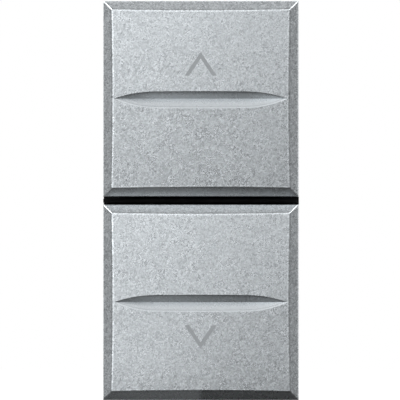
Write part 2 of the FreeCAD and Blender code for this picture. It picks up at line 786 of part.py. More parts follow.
def make_rear_cover(label):
    """The screwed rear cover, with a flared entry behind each terminal and a raised mark beside it."""
    body = new_body(label)
    box(body, "Plate", centred("collar_width"), ("base_back", "cover_back"), centred("collar_height"))
    dress(body, "Fillet", "PlateCorners", corner_test("collar_width", "collar_height"), "corner_round")
    lip = [f"recess_{size} / 2 - fit" for size in ("width", "height")]
    depth = ("base_back - lip_depth", "base_back")
    box(body, "Lip", either_side(lip[0]), depth, either_side(lip[1]))
    hollow = [f"{edge} - lip_wall" for edge in lip]
    box(body, "LipHollow", either_side(hollow[0]), depth, either_side(hollow[1]), cut=True)
    for name, hand, turn in (("Line", -1, 1), ("Up", 1, 1), ("Down", -1, -1)):
        side, height = f"{hand} * terminal_side", f"{turn} * terminal_height"
        start = (side, "base_back", height)
        rod(body, f"{name}Entry", ALONG_Y, "entry_radius", start, "cover_wall", cut=True)
        flare = add(body, "SubtractiveCone", f"{name}Flare")
        flare.Placement.Rotation = ALONG_Y
        for axis, place in zip("xyz", (side, "cover_back - entry_flare", height)):
            bind(flare, f"Placement.Base.{axis}", place)
        bind(flare, "Radius1", "entry_radius")
        bind(flare, "Radius2", "entry_radius + entry_flare")
        bind(flare, "Height", "entry_flare")
    both_halves(body, "Screw", add_cover_screw_hole)
    add_marks(body)


def add_cover_screw_hole(body, name, turn):
    height = f"{turn} * cover_screw_height"
    place = ("0", "base_back", height)
    rod(body, f"{name}Hole", ALONG_Y, "cover_screw_radius + fit", place, "cover_wall", cut=True)
    place = ("0", "cover_back - cover_screw_head", height)
    radius = "cover_screw_head_radius + fit"
    rod(body, f"{name}Counterbore", ALONG_Y, radius, place, "cover_screw_head", cut=True)


def add_marks(body):
    """Raised marks inboard of the entries: L for the line terminal, and an arrow for up and for down."""
    sketch = new_sketch(body, "MarkOutlines", "XZ_Plane", "-cover_back")
    left, low = "-terminal_side + mark_size / 3", "mark_height - mark_size / 2"
    polygon(
        sketch,
        [
            (left, low),
            (f"{left} - mark_size * 2 / 3", low),
            (f"{left} - mark_size * 2 / 3", f"{low} + mark_stroke"),
            (f"{left} - mark_stroke", f"{low} + mark_stroke"),
            (f"{left} - mark_stroke", f"{low} + mark_size"),
            (left, f"{low} + mark_size"),
        ],
    )
    for hand in (1, -1):
        middle, foot = f"{hand} * terminal_side", f"{hand} * ({low})"
        apex = f"{hand} * ({low} + mark_size)"
        polygon(
            sketch,
            [
                (f"{middle} - mark_size / 2", foot),
                (f"{middle} - mark_size / 2 + mark_stroke", foot),
                (middle, f"{apex} - {hand} * 2 * mark_stroke"),
                (f"{middle} + mark_size / 2 - mark_stroke", foot),
                (f"{middle} + mark_size / 2", foot),
                (middle, apex),
            ],
        )
    pad(body, "Marks", sketch, "mark_relief", back=True)


def make_plunger(label, lower):
    """The plunger that carries a carrier's push to its contact lever."""
    body = new_body(label, lower)
    rod_axis(body, "0", "plunger_height")
    turned(
        body,
        "Turned",
        [
            ("0", "-plunger_front"),
            ("plunger_head_radius", "-plunger_front"),
            ("plunger_head_radius", "-plunger_front + plunger_head"),
            ("plunger_radius", "-plunger_front + plunger_head"),
            ("plunger_radius", "plunger_shoulder"),
            ("plunger_tip_radius", "plunger_shoulder + plunger_radius - plunger_tip_radius"),
            ("plunger_tip_radius", "plunger_back - plunger_nose"),
            ("plunger_nose_radius", "plunger_back"),
            ("0", "plunger_back"),
        ],
    )


def rod_axis(body, side, height):
    """Put a turned body's axis at a place, counted before its half turn."""
    turn = -1 if body.Placement.Rotation.isSame(HALF_TURN, 1e-6) else 1
    bind(body, "Placement.Base.x", f"{turn} * ({side})")
    bind(body, "Placement.Base.z", f"{turn} * ({height})")


def make_spring(label, lower, radius, wire, turns, start, end, height):
    """A helical compression spring between two seats."""
    wire_size, coil = value(wire), value(radius)
    inset = wire_size / 2 + value("air_gap")
    low, high = value(start) + inset, value(end) - inset
    helix = Part.Wire(Part.makeHelix((high - low) / value(turns), high - low, coil))
    first = helix.Edges[0]
    start_point, heading = first.firstVertex().Point, first.tangentAt(first.FirstParameter)
    round_wire = Part.Circle(start_point, heading, wire_size / 2)
    quarter = math.pi / 2
    arcs = [Part.ArcOfCircle(round_wire, turn * quarter, (turn + 1) * quarter) for turn in range(4)]
    section = Part.Wire([arc.toShape() for arc in arcs])
    spring = doc.addObject("Part::Feature", label)
    spring.Label = label
    spring.Shape = helix.makePipeShell([section], True, True)
    turn = -1 if lower else 1
    spring.Placement = FreeCAD.Placement(Vector(0, low, turn * value(height)), ALONG_Y)
    pieces.append(spring)


def make_lever(label, lower):
    """A contact lever: a strip with a rolled barrel for its pin and a hole for its contact."""
    body = new_body(label, lower)
    depth = ("pivot_back - lever_wall / 2", "pivot_back + lever_wall / 2")
    box(body, "Strip", centred("lever_width"), depth, ("pivot_height", "lever_top"))
    corners = corner_test_at("lever_width", "lever_top")
    dress(body, "Fillet", "TipCorners", corners, "lever_width / 4")
    place = ("-barrel_width / 2", "pivot_back", "pivot_height")
    rod(body, "Barrel", ALONG_X, "barrel_radius", place, "barrel_width")
    rod(body, "PinBore", ALONG_X, "pin_radius + running_gap", place, "barrel_width", cut=True)
    hole = ("0", "pivot_back - lever_wall / 2", "contact_height")
    rod(body, "RivetHole", ALONG_Y, "shank_radius", hole, "lever_wall", cut=True)


def corner_test_at(width, height):
    """A test for edges along Y at the top corners of a strip."""
    across, up = value(width) / 2, value(height)

    def test(edge):
        point = middle_of(edge)
        return runs_along(edge, 1) and abs(abs(point.x) - across) < 1e-4 and abs(point.z - up) < 1e-4

    return test


def make_lever_pin(label, lower):
    body = new_body(label, lower)
    rod(body, "Pin", ALONG_X, "pin_radius", ("-pin_length / 2", "pivot_back", "pivot_height"), "pin_length")


def make_moving_contact(label, lower):
    """A rivet through the lever with a domed contact head on each side."""
    body = new_body(label, lower)
    rod_axis(body, "0", "contact_height")
    rod(body, "Shank", ALONG_Y, "shank_radius", ("0", "pivot_back - lever_wall / 2", "0"), "lever_wall")
    add_domed_head(body, "FrontHead", -1)
    add_domed_head(body, "BackHead", 1)


def add_domed_head(body, name, turn):
    """One turned head with a spherical face that looks back for a turn of 1 and forward for -1."""
    sketch = new_sketch(body, f"{name}Profile", "XY_Plane")
    face = f"pivot_back + {turn} * lever_wall / 2"
    top, centre = f"{face} + {turn} * rivet_head", f"{face} + {turn} * (rivet_head - rivet_dome)"
    rim = f"{centre} + {turn} * sqrt(rivet_dome^2 - rivet_radius^2)"
    tip = Vector(0, value(top), 0)
    edge = Vector(value("rivet_radius"), value(rim), 0)
    corner = Vector(value("rivet_radius"), value(face), 0)
    foot = Vector(0, value(face), 0)
    circle = Part.Circle(Vector(0, value(centre), 0), Vector(0, 0, 1), value("rivet_dome"))
    ends = [tip, edge][::-turn]
    sketch.addGeometry(Part.ArcOfCircle(circle, *map(circle.parameter, ends)))
    sketch.addGeometry(Part.LineSegment(edge, corner))
    sketch.addGeometry(Part.LineSegment(corner, foot))
    sketch.addGeometry(Part.LineSegment(foot, tip))
    edge_end, tip_end = (1, 2) if turn == 1 else (2, 1)
    join(sketch, 0, edge_end, 1, 1)
    join(sketch, 1, 2, 2, 1)
    join(sketch, 2, 2, 3, 1)
    join(sketch, 3, 2, 0, tip_end)
    pin_point(sketch, 1, 2, "rivet_radius", face)
    pin_point(sketch, 2, 2, "0", face)
    pin_point(sketch, 3, 2, "0", top)
    datum(sketch, "DistanceX", (-1, 1, 1, 1), "rivet_radius")
    pin_point(sketch, 0, 3, "0", centre)
    head = add(body, "Revolution", name)
    head.Profile = sketch
    head.ReferenceAxis = (origin_part(body, "Y_Axis"), [""])
    head.Angle = 360


def make_fixed_contact(label, lower, face, turn):
    """A flat rivet set in a strip. Turn is 1 where its face looks back, and -1 where it looks forward."""
    body = new_body(label, lower)
    rod_axis(body, "0", "contact_height")
    turned(
        body,
        "Rivet",
        [
            ("0", face),
            ("rivet_radius", face),
            ("rivet_radius", f"{face} - {turn} * rivet_head"),
            ("shank_radius", f"{face} - {turn} * rivet_head"),
            ("shank_radius", f"{face} - {turn} * (rivet_head + strip_wall)"),
            ("0", f"{face} - {turn} * (rivet_head + strip_wall)"),
        ],
    )


def add_bracket(body):
    """The bent-up cradle that carries a lever's pin."""
    height = ("bracket_low", "bracket_high")
    box(body, "Web", either_side("bracket_outside"), ("seat_front", "chamber_back"), height)
    for hand in (1, -1):
        side = span(hand, "bracket_inside", "bracket_outside")
        box(body, f"Ear{hand + 1}", side, ("bracket_front", "chamber_back"), height)


def add_pin_holes(body):
    place = ("-bracket_outside", "pivot_back", "pivot_height")
    rod(body, "PinHoles", ALONG_X, "pin_radius", place, "2 * bracket_outside", cut=True)


def make_line_strip(label):
    """The strip from the line terminal to the upper lever's cradle."""
    body = new_body(label)
    add_bracket(body)
    side = ("-bracket_outside", "-bracket_inside")
    low, high = "terminal_height - strip_half_height", "terminal_height + strip_half_height"
    box(body, "Arm", side, ("arm_front", "chamber_back"), ("bracket_low", high))
    box(body, "Tail", side, ("arm_front", "block_front + tail_length"), (low, high))
    add_pin_holes(body)


def make_link_strip(label):
    """The strip from the upper lever's rest contact to the lower lever's cradle, drawn turned round."""
    body = new_body(label, lower=True)
    add_bracket(body)
    outside = "-link_side - strip_wall"
    height = ("bracket_low", "bracket_high")
    box(body, "Foot", (outside, "-bracket_inside"), ("seat_front", "chamber_back"), height)
    box(body, "Riser", (outside, "-link_side"), ("link_front", "chamber_back"), height)
    top = "-contact_height - strip_half_height"
    depth = ("link_front", "link_front + link_depth")
    box(body, "Run", (outside, "-link_side"), depth, (top, "bracket_high"))
    depth = ("link_front", "link_front + strip_wall")
    box(body, "ContactArm", (outside, "strip_side"), depth, (top, "-contact_height + strip_half_height"))
    place = ("0", "link_front", "-contact_height")
    rod(body, "RivetHole", ALONG_Y, "shank_radius", place, "strip_wall", cut=True)
    add_pin_holes(body)


def make_output_strip(label, lower):
    """The strip from a lever's working contact to its terminal."""
    body = new_body(label, lower)
    height = ("contact_height - strip_half_height", "contact_height + strip_half_height")
    box(body, "Seat", ("-strip_side", "bracket_outside"), ("seat_front", "chamber_back"), height)
    depth = ("seat_front", "block_front + tail_length")
    box(body, "Tail", ("bracket_inside", "bracket_outside"), depth, height)
    place = ("0", "seat_front", "contact_height")
    rod(body, "RivetHole", ALONG_Y, "shank_radius", place, "strip_wall", cut=True)


def make_terminal(label, hand, lower):
    """A terminal block bored for the wire and for its screw."""
    body = new_body(label, lower)
    side = span(hand, "bracket_outside", "bracket_outside + block_width")
    box(body, "Block", side, ("block_front", "block_front + block_depth"), ("block_low", "block_high"))
    dress(body, "Chamfer", "BlockEdges", lambda edge: runs_along(edge, 1), "block_chamfer")
    axis = f"{hand} * terminal_side"
    place = (axis, "block_front", "terminal_height")
    rod(body, "WireBore", ALONG_Y, "bore_radius", place, "block_depth", cut=True)
    place = (axis, "screw_depth", "terminal_height")
    rod(body, "ScrewHole", ALONG_Z, "screw_radius", place, "block_high - terminal_height", cut=True)


def make_terminal_screw(label, hand, lower):
    """A slotted clamp screw, drawn open with its tip clear of the wire bore."""
    body = new_body(label, lower)
    rod_axis(body, f"{hand} * terminal_side", "0")
    bind(body, "Placement.Base.y", "screw_depth")
    seat = "block_high + screw_lift"
    turned(
        body,
        "Turned",
        [
            ("0", "screw_tip"),
            ("screw_radius - 2 * running_gap", "screw_tip + 2 * running_gap"),
            ("screw_radius - running_gap", "screw_tip + 4 * running_gap"),
            ("screw_radius - running_gap", seat),
            ("screw_head_radius", seat),
            ("screw_head_radius", f"{seat} + screw_head"),
            ("0", f"{seat} + screw_head"),
        ],
        plane="XZ_Plane",
        axis="Z_Axis",
    )
    slot = (f"{seat} + screw_head - screw_slot", f"{seat} + screw_head")
    across = either_side("screw_head_radius")
    box(body, "Slot", across, centred("screw_slot"), slot, cut=True)


def make_cover_screw(label, lower):
    """A cross-slotted screw that holds the rear cover."""
    body = new_body(label, lower)
    rod_axis(body, "0", "cover_screw_height")
    turned(
        body,
        "Turned",
        [
            ("0", "base_back - cover_screw_length + fit"),
            ("cover_screw_radius", "base_back - cover_screw_length + fit + cover_screw_radius"),
            ("cover_screw_radius", "cover_back - cover_screw_head"),
            ("cover_screw_head_radius", "cover_back - cover_screw_head"),
            ("cover_screw_head_radius", "cover_back - cover_screw_head / 2"),
            ("cover_screw_head_radius * 0.7", "cover_back"),
            ("0", "cover_back"),
        ],
    )
    arm, half = "cover_screw_head_radius / 2", "cover_screw_head_radius / 8"
    depth = ("cover_back - cover_screw_head / 2", "cover_back")
    box(body, "SlotAcross", (f"-{arm}", arm), depth, (f"-{half}", half), cut=True)
    box(body, "SlotUp", (f"-{half}", half), depth, (f"-{arm}", arm), cut=True)


def make_pair(name, maker, *details):
    """The upper piece and its lower twin."""
    for half, lower in (("upper", False), ("lower", True)):
        maker(f"{half}_{name}", lower, *details)


def check_and_write():
    """Stop on any failed object or bad shape, then write one file for each piece."""
    doc.recompute()
    failed = [thing.Label for thing in doc.Objects if {"Invalid", "Error"} & set(thing.State)]
    bad = [piece.Label for piece in pieces if piece.Shape.isNull() or not piece.Shape.isValid()]
    if failed or bad:
        raise RuntimeError(f"failed objects: {failed}; bad shapes: {bad}")
    os.makedirs("parts", exist_ok=True)
    for piece in pieces:
        solid_count = len(piece.Shape.Solids)
        if solid_count != 1:
            raise RuntimeError(f"{piece.Label} has {solid_count} solids")
        piece.Shape.exportStep(f"parts/{piece.Label}.step")
        print(f"{piece.Label}: {piece.Shape.Volume:.1f} mm3")


make_key("upper_key", 1)
make_key("lower_key", -1)
make_arrow("up_arrow", 1)
make_arrow("down_arrow", -1)
make_pair("carrier", make_carrier)
make_front_housing("front_housing")
make_base_housing("base_housing")
make_rear_cover("rear_cover")
make_pair("plunger", make_plunger)
return_seats = ("-plunger_front + plunger_head", "0")
make_pair(
    "return_spring",
    make_spring,
    "return_spring_radius",
    "return_spring_wire",
    "return_spring_turns",
    *return_seats,
    "plunger_height",
)
make_pair("contact_lever", make_lever)
make_pair("lever_pin", make_lever_pin)
lever_seats = ("pivot_back + lever_wall / 2", "chamber_back")
make_pair(
    "lever_spring",
    make_spring,
    "lever_spring_radius",
    "lever_spring_wire",
    "lever_spring_turns",
    *lever_seats,
    "lever_spring_height",
)
make_pair("moving_contact", make_moving_contact)
make_line_strip("line_strip")
make_link_strip("link_strip")
make_output_strip("up_strip", False)
make_output_strip("down_strip", True)
make_fixed_contact("link_contact", False, "rest_face", 1)
make_fixed_contact("up_contact", False, "made_face", -1)
make_fixed_contact("down_contact", True, "made_face", -1)
for name, hand, lower in (("line", -1, False), ("up", 1, False), ("down", 1, True)):
    make_terminal(f"{name}_terminal", hand, lower)
    make_terminal_screw(f"{name}_terminal_screw", hand, lower)
make_pair("cover_screw", make_cover_screw)
check_and_write()
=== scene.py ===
import json
import math

import bpy
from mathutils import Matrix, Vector


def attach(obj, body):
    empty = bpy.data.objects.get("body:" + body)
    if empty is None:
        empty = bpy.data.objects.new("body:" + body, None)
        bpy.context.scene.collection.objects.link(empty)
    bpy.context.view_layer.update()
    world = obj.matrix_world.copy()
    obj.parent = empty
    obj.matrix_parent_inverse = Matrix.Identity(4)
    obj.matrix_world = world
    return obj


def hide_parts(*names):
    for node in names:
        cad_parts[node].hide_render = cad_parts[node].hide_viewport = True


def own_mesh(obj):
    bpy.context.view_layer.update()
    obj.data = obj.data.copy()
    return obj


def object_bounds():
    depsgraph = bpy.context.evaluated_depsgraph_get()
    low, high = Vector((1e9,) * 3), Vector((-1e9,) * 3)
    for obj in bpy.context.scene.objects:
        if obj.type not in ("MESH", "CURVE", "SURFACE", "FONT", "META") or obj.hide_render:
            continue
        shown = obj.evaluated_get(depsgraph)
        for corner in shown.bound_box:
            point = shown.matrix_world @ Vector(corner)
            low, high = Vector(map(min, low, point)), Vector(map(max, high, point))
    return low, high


# The looks of a roller shutter switch: silver painted keys on a black moulded front, with a grey base
# behind. Lengths are in metres unless a comment says millimetres. X runs to the right, Y back into the
# wall and Z up.

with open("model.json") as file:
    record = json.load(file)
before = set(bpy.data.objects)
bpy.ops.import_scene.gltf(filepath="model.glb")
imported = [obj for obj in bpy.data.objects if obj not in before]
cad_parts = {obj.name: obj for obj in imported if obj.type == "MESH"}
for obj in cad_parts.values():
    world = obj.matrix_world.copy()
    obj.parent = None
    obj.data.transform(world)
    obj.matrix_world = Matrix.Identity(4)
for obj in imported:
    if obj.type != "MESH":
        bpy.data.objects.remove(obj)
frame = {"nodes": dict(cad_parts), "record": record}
cad_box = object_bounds()

MM = 0.001
WHITE = (1, 1, 1, 1)

# camera
CAMERA_DISTANCE = 2.0
CAMERA_AZIMUTH = math.radians(0.5)
CAMERA_ELEVATION = math.radians(-0.45)
CAMERA_AIM = Vector((-0.10, -6.0, 0.06)) * MM
VIEW_WIDTH = 45.08 * MM
SENSOR_WIDTH = 36.0
NEAREST_SEEN = 0.01
FARTHEST_SEEN = 20

# the keys' faces, in millimetres
KEY_MIDDLE = 11.46
KEY_FRONT = 8.5
CROWN_RADIUS = 500
KEY_SIDE = 11.025
KEY_END = 11.04
SKIRT_TAPER = 0.04
BEVEL_WIDTH = 1.21
BEVEL_DEPTH = 1.015
SLOT_REACH = 1.3

# painted highlight and painted shade lines on the keys, in millimetres: where each starts and ends, and
# how wide its soft edges are
RIDGE_HIGHLIGHT_BAND = (-0.12, -0.02, 0.05)
RIDGE_SHADE_BAND = (0.07, 0.14, 0.05)
UPPER_RIM_SHADE_BAND = (0.0, 0.09, 0.04)
LOWER_RIM_HIGHLIGHT_BAND = (0.0, 0.08, 0.02)
LOWER_RIM_SHADE_BAND = (0.11, 0.16, 0.03)

# how much the painted highlights lighten the paint and the painted shade darkens it on those lines
RIDGE_HIGHLIGHT_STRENGTH = 0.26
RIDGE_SHADE_STRENGTH = 0.24
UPPER_RIM_SHADE_STRENGTH = 0.28
LOWER_RIM_HIGHLIGHT_STRENGTH = 0.10
LOWER_RIM_SHADE_STRENGTH = 0.14

# the keys' paint and print
PAINT_METALLIC = 0.9
PAINT_ROUGHNESS = (0.25, 0.30)
PAINT_CLOUD = 0.8 * MM
PAINT_COLOURS = ((0.45, 0.47, 0.485), (0.78, 0.81, 0.83))
FLAKE = 0.14 * MM
FLAKE_TILT = 0.06
FAINT_GRAIN = 0.15
STEEP = 0.3
PRINT_ROUGHNESS = (0.5, 0.65)
PRINT_COLOURS = ((0.27, 0.29, 0.305), (0.345, 0.36, 0.375))

# plastics and metals; the sizes and depths of their textures are in millimetres
PLASTICS = {
    "black_plastic": {
        # near black, darker than such plastic is, so that the gap between the keys lies in deep shade:
        # the plastic's own black with painted shade
        "colours": ((0.002, 0.002, 0.0025), (0.005, 0.005, 0.0055)),
        "roughness": 0.6,
        "texture": (0.12, 0.02),
        "gloss": 0.12,
    },
    "grey_plastic": {
        "colours": ((0.50, 0.515, 0.52), (0.58, 0.595, 0.60)),
        "roughness": 0.5,
        "texture": (0.16, 0.03),
        "gloss": 0.5,
    },
    "plunger_plastic": {
        "colours": ((0.68, 0.64, 0.54), (0.76, 0.73, 0.63)),
        "roughness": 0.35,
        "texture": (0.3, 0.01),
        "gloss": 0.5,
    },
}
METALS = {
    "spring_steel": {
        "colours": ((0.36, 0.37, 0.39), (0.56, 0.57, 0.59)),
        "roughness": 0.3,
        "stretch": (1, 1, 1),
        "line_size": 0.12,
    },
    "pin_steel": {
        "colours": ((0.46, 0.47, 0.48), (0.66, 0.67, 0.68)),
        "roughness": 0.28,
        "stretch": (0.06, 1, 1),
        "line_size": 0.08,
    },
    "contact_brass": {
        "colours": ((0.56, 0.38, 0.15), (0.78, 0.58, 0.28)),
        "roughness": 0.3,
        "stretch": (1, 1, 0.06),
        "line_size": 0.1,
    },
    "contact_silver": {
        "colours": ((0.66, 0.65, 0.62), (0.86, 0.85, 0.82)),
        "roughness": 0.26,
        "stretch": (1, 1, 1),
        "line_size": 0.2,
    },
    "terminal_brass": {
        "colours": ((0.60, 0.43, 0.18), (0.80, 0.62, 0.31)),
        "roughness": 0.34,
        "stretch": (0.08, 1, 1),
        "line_size": 0.12,
    },
    "screw_steel": {
        "colours": ((0.50, 0.51, 0.52), (0.70, 0.70, 0.67)),
        "roughness": 0.32,
        "stretch": (1, 1, 1),
        "line_size": 0.3,
    },
}
PLASTIC_CLOUD = 4 * MM
PLASTIC_SHEEN = 1.5 * MM
METAL_TARNISH = 2.5 * MM
METAL_LINE_DEPTH = 0.01 * MM
LINE_SHARE = 0.6
TARNISH_SHARE = 0.4

# springs, in millimetres, each with the share of its length that it keeps
RETURN_SPRING = {
    "radius": 2.2, "wire": 0.36, "turns": 5, "start": -3.39, "end": -0.21, "height": 13.0, "kept": 0.787
}
LEVER_SPRING = {
    "radius": 1.25, "wire": 0.28, "turns": 5.5, "start": 9.57, "end": 12.38, "height": 9.3, "kept": 0.877
}
CLOSED_TURNS = 1.0
CLOSED_LEAD = 1.03
STEPS_PER_TURN = 40
WIRE_SIDES = 12

# studio
WORLD_LIGHT = 0.7
FLOOR_BELOW = 0.1 * MM
FLOOR_REACH = 2.0
FLOOR_GREY = (0.5, 0.5, 0.5, 1)
FLOOR_GLOW = 0.7
LAMP_SIZE = 0.5
LAMPS = {"key_light": ((-0.62, -0.48, 0.62), 4.0), "fill_light": ((0.62, -0.48, 0.62), 2.5)}

# light tent, whose angles are in degrees: from one angle to the next, the light goes from the third
# number to the fourth
TENT_RADIUS = 6.0
TENT_BACK = 0.05
TENT_BELOW = 0.05 * MM
TENT_RINGS = 24
TENT_PARTS = 48
TENT_COLOUR = (0.965, 0.985, 1.0, 1)
TABLE_LIGHT = (-40, -28, 0.05, 0.50)
TABLE_FAR_END = (-18, -9, 1.0, 0.20)
HORIZON = (-1.0, 2.0, 0.0, 1.2)
UPWARDS = (8, 40, 1.0, 0.75)
OVERHEAD = (68, 84, 1.0, 0.18)
FAR_LEFT = (-75, -45, 0.25, 1.0)
FAR_RIGHT = (30, 60, 1.0, 0.92)
LEFT_TO_RIGHT = (-2.5, 1.5, 1.68, 0.46)
LEFT_TO_RIGHT_FADES = (10, 40, 1.0, 0.0)


def add_node(material, kind, **settings):
    """A shader node. Settings that aren't properties of the node are its inputs."""
    node = material.node_tree.nodes.new(f"ShaderNode{kind}")
    for name, setting in settings.items():
        if hasattr(node, name):
            setattr(node, name, setting)
        else:
            node.inputs[name.replace("_", " ")].default_value = setting
    return node


def wire_up(material, source, target):
    material.node_tree.links.new(source, target)


def feed(material, node, entry, source):
    """Give an input a number or another node's output."""
    if isinstance(source, (int, float)):
        node.inputs[entry].default_value = source
    else:
        wire_up(material, source, node.inputs[entry])


def calculate(material, operation, first, second=0.0):
    node = add_node(material, "Math", operation=operation)
    feed(material, node, 0, first)
    feed(material, node, 1, second)
    return node.outputs[0]


def all_of(material, *shares):
    product = shares[0]
    for share in shares[1:]:
        product = calculate(material, "MULTIPLY", product, share)
    return product


def size_of(material, source):
    return calculate(material, "ABSOLUTE", source)


def scale_vector(material, source, factor):
    node = add_node(material, "VectorMath", operation="SCALE")
    wire_up(material, source, node.inputs[0])
    feed(material, node, "Scale", factor)
    return node.outputs[0]


def spread(material, source, low, high, new_low, new_high):
    """The source's range from low to high, moved to a new range and cut off at its ends."""
    node = add_node(material, "MapRange", clamp=True)
    for entry, part in enumerate((source, low, high, new_low, new_high)):
        feed(material, node, entry, part)
    return node.outputs[0]


def band(material, source, low, high, soft):
    """One where the source lies between low and high, nought outside, with soft edges."""
    rise = spread(material, source, low - soft, low, 0, 1)
    fall = spread(material, source, high, high + soft, 1, 0)
    return calculate(material, "MULTIPLY", rise, fall)


def new_material(name, metallic, roughness, gloss=0.5):
    material = bpy.data.materials.new(name)
    material.use_nodes = True
    shader = shader_of(material)
    shader.inputs["Metallic"].default_value = metallic
    shader.inputs["Roughness"].default_value = roughness
    shader.inputs["Specular IOR Level"].default_value = gloss
    return material


def shader_of(material):
    return material.node_tree.nodes["Principled BSDF"]


def own_point(material, stretch=(1, 1, 1)):
    """The point on the piece at rest, squeezed along each axis by its stretch."""
    point = add_node(material, "TexCoord").outputs["Object"]
    mapping = add_node(material, "Mapping")
    mapping.inputs["Scale"].default_value = stretch
    wire_up(material, point, mapping.inputs["Vector"])
    return mapping.outputs["Vector"]


def noise(material, size, detail=3, stretch=(1, 1, 1)):
    """Cloudy variation from nought to one, with clouds of the given size."""
    node = add_node(material, "TexNoise", Scale=1 / size, Detail=detail)
    wire_up(material, own_point(material, stretch), node.inputs["Vector"])
    return node.outputs["Fac"]


def blend_colours(material, share, first, second):
    node = add_node(material, "Mix", data_type="RGBA")
    feed(material, node, 0, share)
    node.inputs[6].default_value = (*first, 1)
    node.inputs[7].default_value = (*second, 1)
    return node.outputs[2]


def colour_by(material, share, first, second):
    mixed = blend_colours(material, share, first, second)
    wire_up(material, mixed, shader_of(material).inputs["Base Color"])


def roughness_by(material, share, low, high):
    rough = spread(material, share, 0.3, 0.7, low, high)
    wire_up(material, rough, shader_of(material).inputs["Roughness"])


def relief(material, height, depth):
    """Raise the surface by the height, from nought to one, times a depth."""
    bump = add_node(material, "Bump", Distance=depth)
    wire_up(material, height, bump.inputs["Height"])
    wire_up(material, bump.outputs["Normal"], shader_of(material).inputs["Normal"])


def past_ridge(material, across, height, sag):
    """How far outside the ridge between a key's face and its bevels a point lies."""
    inset = calculate(material, "MULTIPLY", sag, -BEVEL_WIDTH / BEVEL_DEPTH)
    inset = calculate(material, "ADD", inset, BEVEL_WIDTH + SKIRT_TAPER)
    past = []
    for part, end in ((across, KEY_SIDE), (height, KEY_END)):
        from_end = calculate(material, "SUBTRACT", size_of(material, part), end)
        past.append(calculate(material, "ADD", from_end, inset))
    return calculate(material, "MAXIMUM", *past)


def key_places(material):
    """Where a point lies on its key, in millimetres: how high above its middle, how far outside the
    ridge and how deep behind the face. The tilt is nought on the face and one where it faces up."""
    coordinates = add_node(material, "TexCoord")
    place = add_node(material, "SeparateXYZ")
    facing = add_node(material, "SeparateXYZ")
    wire_up(material, scale_vector(material, coordinates.outputs["Object"], 1 / MM), place.inputs[0])
    wire_up(material, coordinates.outputs["Normal"], facing.inputs[0])
    across, back, up = (place.outputs[axis] for axis in "XYZ")
    key_centre = calculate(material, "MULTIPLY", calculate(material, "SIGN", up), KEY_MIDDLE)
    height = calculate(material, "SUBTRACT", up, key_centre)
    squares = [calculate(material, "MULTIPLY", part, part) for part in (across, height)]
    sag = calculate(material, "DIVIDE", calculate(material, "ADD", *squares), 2 * CROWN_RADIUS)
    face = calculate(material, "SUBTRACT", sag, KEY_FRONT)
    return {
        "height": height,
        "past_ridge": past_ridge(material, across, height, sag),
        "below_face": calculate(material, "SUBTRACT", back, face),
        "tilt": facing.outputs["Z"],
    }


def painted_highlight_and_shade(material, places):
    """The paint's lightness, with painted highlights along the ridges and the lower rims of the finger
    slots, and painted shade in fine lines beside them and under the upper rims.
    """
    past, below, tilt = (places[name] for name in ("past_ridge", "below_face", "tilt"))
    in_slot = calculate(material, "LESS_THAN", size_of(material, places["height"]), SLOT_REACH)
    upper_wall = all_of(material, in_slot, calculate(material, "LESS_THAN", tilt, -STEEP))
    lower_wall = all_of(material, in_slot, calculate(material, "GREATER_THAN", tilt, STEEP))
    # painted highlight and painted shade lines: each band with how much it lightens or darkens the paint
    changes = (
        (band(material, past, *RIDGE_HIGHLIGHT_BAND), RIDGE_HIGHLIGHT_STRENGTH),
        (band(material, past, *RIDGE_SHADE_BAND), -RIDGE_SHADE_STRENGTH),
        (all_of(material, upper_wall, band(material, below, *UPPER_RIM_SHADE_BAND)), -UPPER_RIM_SHADE_STRENGTH),
        (all_of(material, lower_wall, band(material, below, *LOWER_RIM_HIGHLIGHT_BAND)), LOWER_RIM_HIGHLIGHT_STRENGTH),
        (all_of(material, lower_wall, band(material, below, *LOWER_RIM_SHADE_BAND)), -LOWER_RIM_SHADE_STRENGTH),
    )
    lightness = 1.0
    for share, change in changes:
        lightness = calculate(material, "ADD", lightness, calculate(material, "MULTIPLY", share, change))
    return lightness


def paint_grain(material, places):
    """How much the flakes show: little in the finger slots and on the bottom bevels."""
    steep = calculate(material, "GREATER_THAN", size_of(material, places["tilt"]), STEEP)
    near_slot = calculate(material, "LESS_THAN", size_of(material, places["height"]), SLOT_REACH)
    in_slot = all_of(material, steep, near_slot)
    faces_down = calculate(material, "LESS_THAN", places["tilt"], -STEEP)
    return spread(material, calculate(material, "MAXIMUM", in_slot, faces_down), 0, 1, 1, FAINT_GRAIN)


def flake_colour(material, flakes, grain):
    """The paint's silver, each flake lighter or darker than the next."""
    channels = add_node(material, "SeparateColor")
    wire_up(material, flakes, channels.inputs[0])
    speckle = all_of(material, calculate(material, "SUBTRACT", channels.outputs[0], 0.5), grain)
    return blend_colours(material, calculate(material, "ADD", speckle, 0.5), *PAINT_COLOURS)


def flake_facing(material, flakes, grain):
    """The way the paint faces, each flake tilted its own way."""
    centred = add_node(material, "VectorMath", operation="SUBTRACT")
    wire_up(material, flakes, centred.inputs[0])
    centred.inputs[1].default_value = (0.5, 0.5, 0.5)
    strength = calculate(material, "MULTIPLY", grain, FLAKE_TILT)
    tilted = add_node(material, "VectorMath", operation="ADD")
    wire_up(material, add_node(material, "NewGeometry").outputs["Normal"], tilted.inputs[0])
    wire_up(material, scale_vector(material, centred.outputs[0], strength), tilted.inputs[1])
    unit = add_node(material, "VectorMath", operation="NORMALIZE")
    wire_up(material, tilted.outputs[0], unit.inputs[0])
    return unit.outputs[0]


